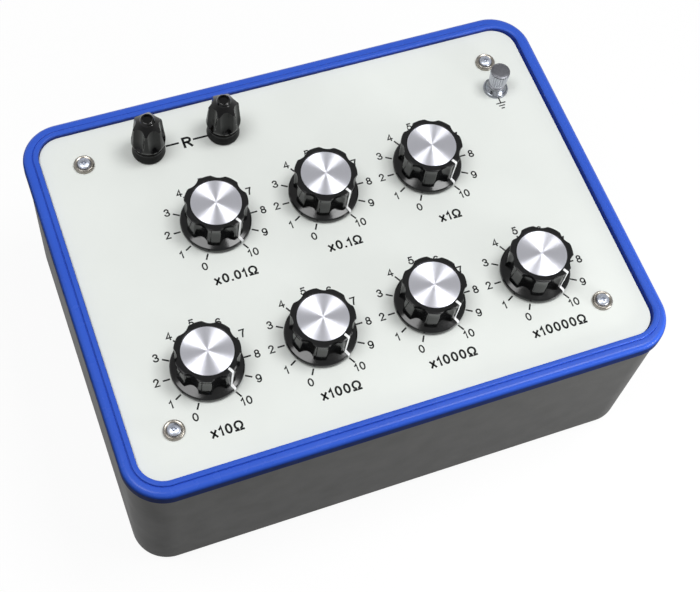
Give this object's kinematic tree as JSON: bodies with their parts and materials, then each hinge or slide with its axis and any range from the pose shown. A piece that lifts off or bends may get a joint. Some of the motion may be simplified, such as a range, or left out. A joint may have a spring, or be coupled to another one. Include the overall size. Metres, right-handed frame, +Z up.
{
  "type": "resistance decade box",
  "caption": "Bench resistance decade box with a moulded tub, blue bezel, rows of skirted rotary dials, clamp terminals and an earth post.",
  "frame": {"origin": "centre of the underside, on the surface that the rubber feet stand on", "axes": "+X to the right along the rows of dials, +Y to the back where the terminals are, +Z up"},
  "size_m": [0.2514, 0.1894, 0.1146],
  "materials": {
    "case_plastic": "smooth moulded, dark grey",
    "blue_plastic": "glossy moulded, blue",
    "panel_paint": "smooth off-white paint on aluminium",
    "knob_plastic": "glossy moulded, black",
    "black_plastic": "moulded, black",
    "aluminium": "circular turned",
    "nickel": "bright nickel plate",
    "brass": "turned",
    "steel": "zinc plated",
    "laminate": "phenolic laminate",
    "foot_rubber": "moulded, black"
  },
  "bodies": {
    "case": {"case_tub": "case_plastic", "bezel_frame": "blue_plastic", "front_panel": "panel_paint", "panel_screws": "nickel", "cup_washers": "nickel", "rubber_feet": "foot_rubber", "switch_frames": "steel", "switch_nuts": "nickel", "switch_wafers": "laminate", "switch_lugs": "brass", "resistor_cards": "laminate", "bus_wires": "brass", "terminal_bases": "black_plastic", "terminal_insulators": "black_plastic", "terminal_studs": "brass", "terminal_nuts": "nickel", "earth_base": "nickel", "earth_stud": "brass", "earth_back_nut": "nickel"},
    "dial_1": {"knob_1": "knob_plastic", "knob_disc_1": "aluminium", "switch_shaft_1": "steel", "switch_rotor_1": "black_plastic"},
    "dial_2": {"knob_2": "knob_plastic", "knob_disc_2": "aluminium", "switch_shaft_2": "steel", "switch_rotor_2": "black_plastic"},
    "dial_3": {"knob_3": "knob_plastic", "knob_disc_3": "aluminium", "switch_shaft_3": "steel", "switch_rotor_3": "black_plastic"},
    "dial_4": {"knob_4": "knob_plastic", "knob_disc_4": "aluminium", "switch_shaft_4": "steel", "switch_rotor_4": "black_plastic"},
    "dial_5": {"knob_5": "knob_plastic", "knob_disc_5": "aluminium", "switch_shaft_5": "steel", "switch_rotor_5": "black_plastic"},
    "dial_6": {"knob_6": "knob_plastic", "knob_disc_6": "aluminium", "switch_shaft_6": "steel", "switch_rotor_6": "black_plastic"},
    "dial_7": {"knob_7": "knob_plastic", "knob_disc_7": "aluminium", "switch_shaft_7": "steel", "switch_rotor_7": "black_plastic"},
    "clamp_1": {"clamp_washer_1": "nickel"},
    "cap_1": {"terminal_cap_1": "black_plastic"},
    "clamp_2": {"clamp_washer_2": "nickel"},
    "cap_2": {"terminal_cap_2": "black_plastic"},
    "earth_clamp": {"earth_clamp_washer": "nickel"},
    "earth_nut": {"earth_thumb_nut": "nickel"}
  },
  "joints": [
    {"name": "dial_1_turn", "type": "hinge", "parent": "case", "child": "dial_1", "pos_m": [-0.05215, 0.0235, 0.0885], "axis": [0, 0, 1], "range_deg": [0, 300]},
    {"name": "dial_2_turn", "type": "hinge", "parent": "case", "child": "dial_2", "pos_m": [-0.00085, 0.0235, 0.0885], "axis": [0, 0, 1], "range_deg": [0, 300]},
    {"name": "dial_3_turn", "type": "hinge", "parent": "case", "child": "dial_3", "pos_m": [0.05045, 0.0235, 0.0885], "axis": [0, 0, 1], "range_deg": [0, 300]},
    {"name": "dial_4_turn", "type": "hinge", "parent": "case", "child": "dial_4", "pos_m": [-0.0778, -0.0437, 0.0885], "axis": [0, 0, 1], "range_deg": [0, 300]},
    {"name": "dial_5_turn", "type": "hinge", "parent": "case", "child": "dial_5", "pos_m": [-0.0265, -0.0437, 0.0885], "axis": [0, 0, 1], "range_deg": [0, 300]},
    {"name": "dial_6_turn", "type": "hinge", "parent": "case", "child": "dial_6", "pos_m": [0.0248, -0.0437, 0.0885], "axis": [0, 0, 1], "range_deg": [0, 300]},
    {"name": "dial_7_turn", "type": "hinge", "parent": "case", "child": "dial_7", "pos_m": [0.0761, -0.0437, 0.0885], "axis": [0, 0, 1], "range_deg": [0, 300]},
    {"name": "clamp_1_lift", "type": "slide", "parent": "case", "child": "clamp_1", "axis": [0, 0, 1], "range_m": [0, 0.005]},
    {"name": "cap_1_screw", "type": "hinge", "parent": "clamp_1", "child": "cap_1", "pos_m": [-0.0696, 0.0686, 0.0985], "axis": [0, 0, 1], "range_deg": [0, 1810]},
    {"name": "clamp_2_lift", "type": "slide", "parent": "case", "child": "clamp_2", "axis": [0, 0, 1], "range_m": [0, 0.005]},
    {"name": "cap_2_screw", "type": "hinge", "parent": "clamp_2", "child": "cap_2", "pos_m": [-0.034, 0.0686, 0.0985], "axis": [0, 0, 1], "range_deg": [0, 1810]},
    {"name": "earth_clamp_lift", "type": "slide", "parent": "case", "child": "earth_clamp", "axis": [0, 0, 1], "range_m": [0, 0.0035]},
    {"name": "earth_nut_screw", "type": "hinge", "parent": "earth_clamp", "child": "earth_nut", "pos_m": [0.0986, 0.0543, 0.0965], "axis": [0, 0, 1], "range_deg": [0, 1810]}
  ],
  "couplings": [
    {"joint": "cap_1_screw", "follows": "clamp_1_lift", "rad_per_m": 6283.2},
    {"joint": "cap_2_screw", "follows": "clamp_2_lift", "rad_per_m": 6283.2},
    {"joint": "earth_nut_screw", "follows": "earth_clamp_lift", "rad_per_m": 8976}
  ]
}
